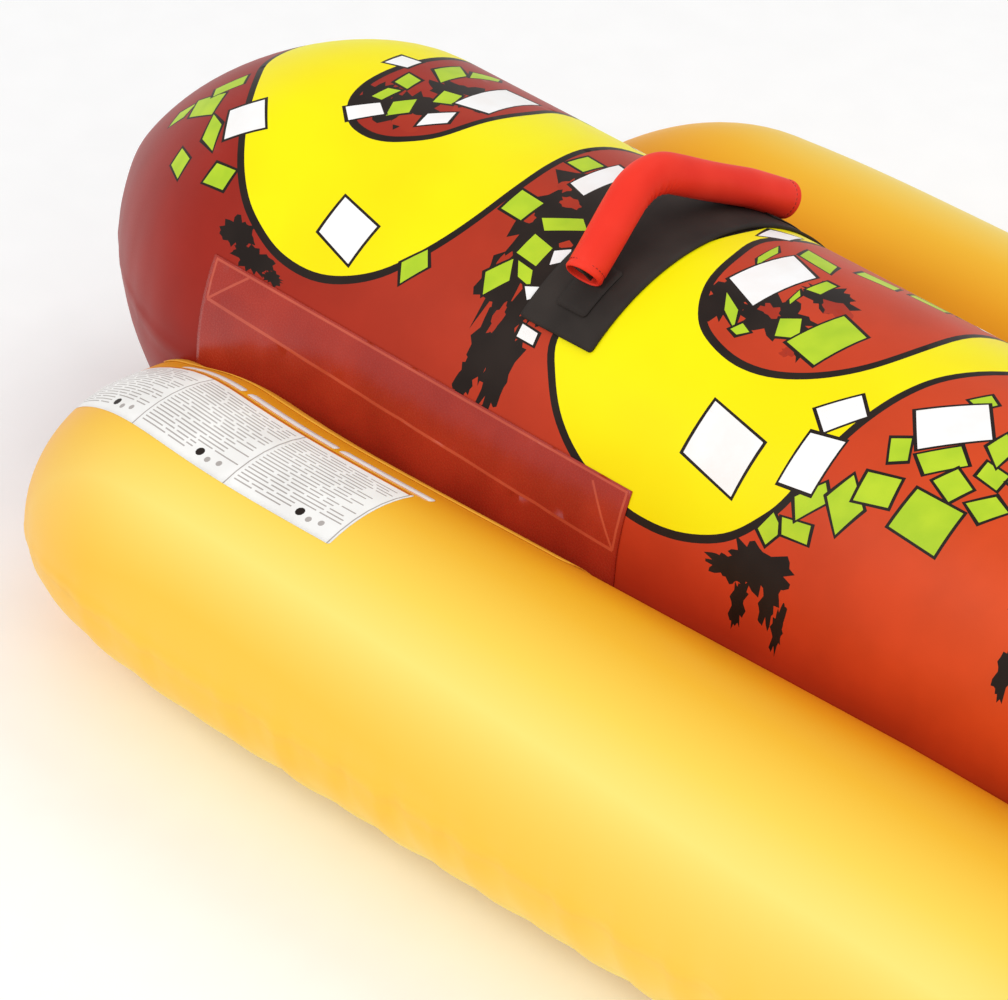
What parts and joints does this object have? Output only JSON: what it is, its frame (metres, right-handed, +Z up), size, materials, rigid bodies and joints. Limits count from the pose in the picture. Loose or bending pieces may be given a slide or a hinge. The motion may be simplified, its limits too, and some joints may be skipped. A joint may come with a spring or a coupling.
{
  "type": "towable tube",
  "caption": "Two-rider inflatable towable tube shaped like a hot dog in a bun: a long middle tube between two side tubes, with foam handles, valves and a tow ring.",
  "frame": {"origin": "on the ground, under the centre of the whole object, tow ring included", "axes": "+X forward to the nose and tow ring, +Y to the left-hand bun, +Z up"},
  "size_m": [2.1205, 1.058, 0.5451],
  "materials": {
    "sausage_skin": "printed glossy PVC sheet",
    "bun_skin": "printed glossy PVC sheet",
    "red_sheet": "clear red PVC sheet",
    "pad_neoprene": "black neoprene",
    "grip_neoprene": "red neoprene sleeve",
    "foam": "closed-cell foam",
    "webbing": "woven nylon webbing",
    "valve_plastic": "moulded",
    "valve_rubber": "moulded silicone rubber",
    "cap_plastic": "moulded",
    "ring_steel": "welded stainless steel"
  },
  "bodies": {
    "root": {"front_handle_anchors": "webbing", "front_handle_pad": "pad_neoprene", "left_bun_tube": "bun_skin", "left_front_red_flap": "red_sheet", "left_front_yellow_tab": "bun_skin", "left_lower_flap": "red_sheet", "left_rear_red_flap": "red_sheet", "left_rear_yellow_tab": "bun_skin", "left_valve_base": "valve_plastic", "left_valve_disc": "valve_rubber", "left_valve_spider": "valve_plastic", "left_valve_throat": "valve_plastic", "middle_valve_base": "valve_plastic", "middle_valve_disc": "valve_rubber", "middle_valve_spider": "valve_plastic", "middle_valve_throat": "valve_plastic", "rear_handle_anchors": "webbing", "rear_handle_pad": "pad_neoprene", "right_bun_tube": "bun_skin", "right_front_red_flap": "red_sheet", "right_front_yellow_tab": "bun_skin", "right_lower_flap": "red_sheet", "right_rear_red_flap": "red_sheet", "right_rear_yellow_tab": "bun_skin", "right_valve_base": "valve_plastic", "right_valve_disc": "valve_rubber", "right_valve_spider": "valve_plastic", "right_valve_throat": "valve_plastic", "sausage_tube": "sausage_skin", "tow_lower_patch": "red_sheet", "tow_strap": "webbing", "tow_upper_patch": "red_sheet"},
    "front_grip": {"front_grip_cover": "grip_neoprene", "front_grip_foam": "foam", "front_grip_webbing": "webbing"},
    "left_cap": {"left_valve_cap": "cap_plastic"},
    "middle_cap": {"middle_valve_cap": "cap_plastic"},
    "rear_grip": {"rear_grip_cover": "grip_neoprene", "rear_grip_foam": "foam", "rear_grip_webbing": "webbing"},
    "right_cap": {"right_valve_cap": "cap_plastic"},
    "tow_ring": {"tow_ring": "ring_steel"}
  },
  "joints": [
    {"name": "rear_handle_tilt", "type": "hinge", "parent": "root", "child": "rear_grip", "pos_m": [-0.30025, 0.02183, 0.43266], "axis": [0, 0.9945, -0.1045], "range_deg": [-40, 60], "stiffness_Nm_per_rad": 0.8},
    {"name": "front_handle_tilt", "type": "hinge", "parent": "root", "child": "front_grip", "pos_m": [0.35475, 0.02183, 0.43266], "axis": [0, 0.9945, -0.1045], "range_deg": [-40, 60], "stiffness_Nm_per_rad": 0.8},
    {"name": "middle_cap_hinge", "type": "hinge", "parent": "root", "child": "middle_cap", "pos_m": [0.59975, 0, 0.4588], "axis": [0, -1, 0], "range_deg": [0, 165]},
    {"name": "right_cap_hinge", "type": "hinge", "parent": "root", "child": "right_cap", "pos_m": [0.46475, -0.37401, 0.3188], "axis": [0, -1, 0], "range_deg": [0, 165]},
    {"name": "left_cap_hinge", "type": "hinge", "parent": "root", "child": "left_cap", "pos_m": [0.46475, 0.37401, 0.3188], "axis": [0, -1, 0], "range_deg": [0, 165]},
    {"name": "tow_ring_swing", "type": "hinge", "parent": "root", "child": "tow_ring", "pos_m": [1.05125, 0, 0.225], "axis": [0, -1, 0], "range_deg": [-10, 130]}
  ]
}
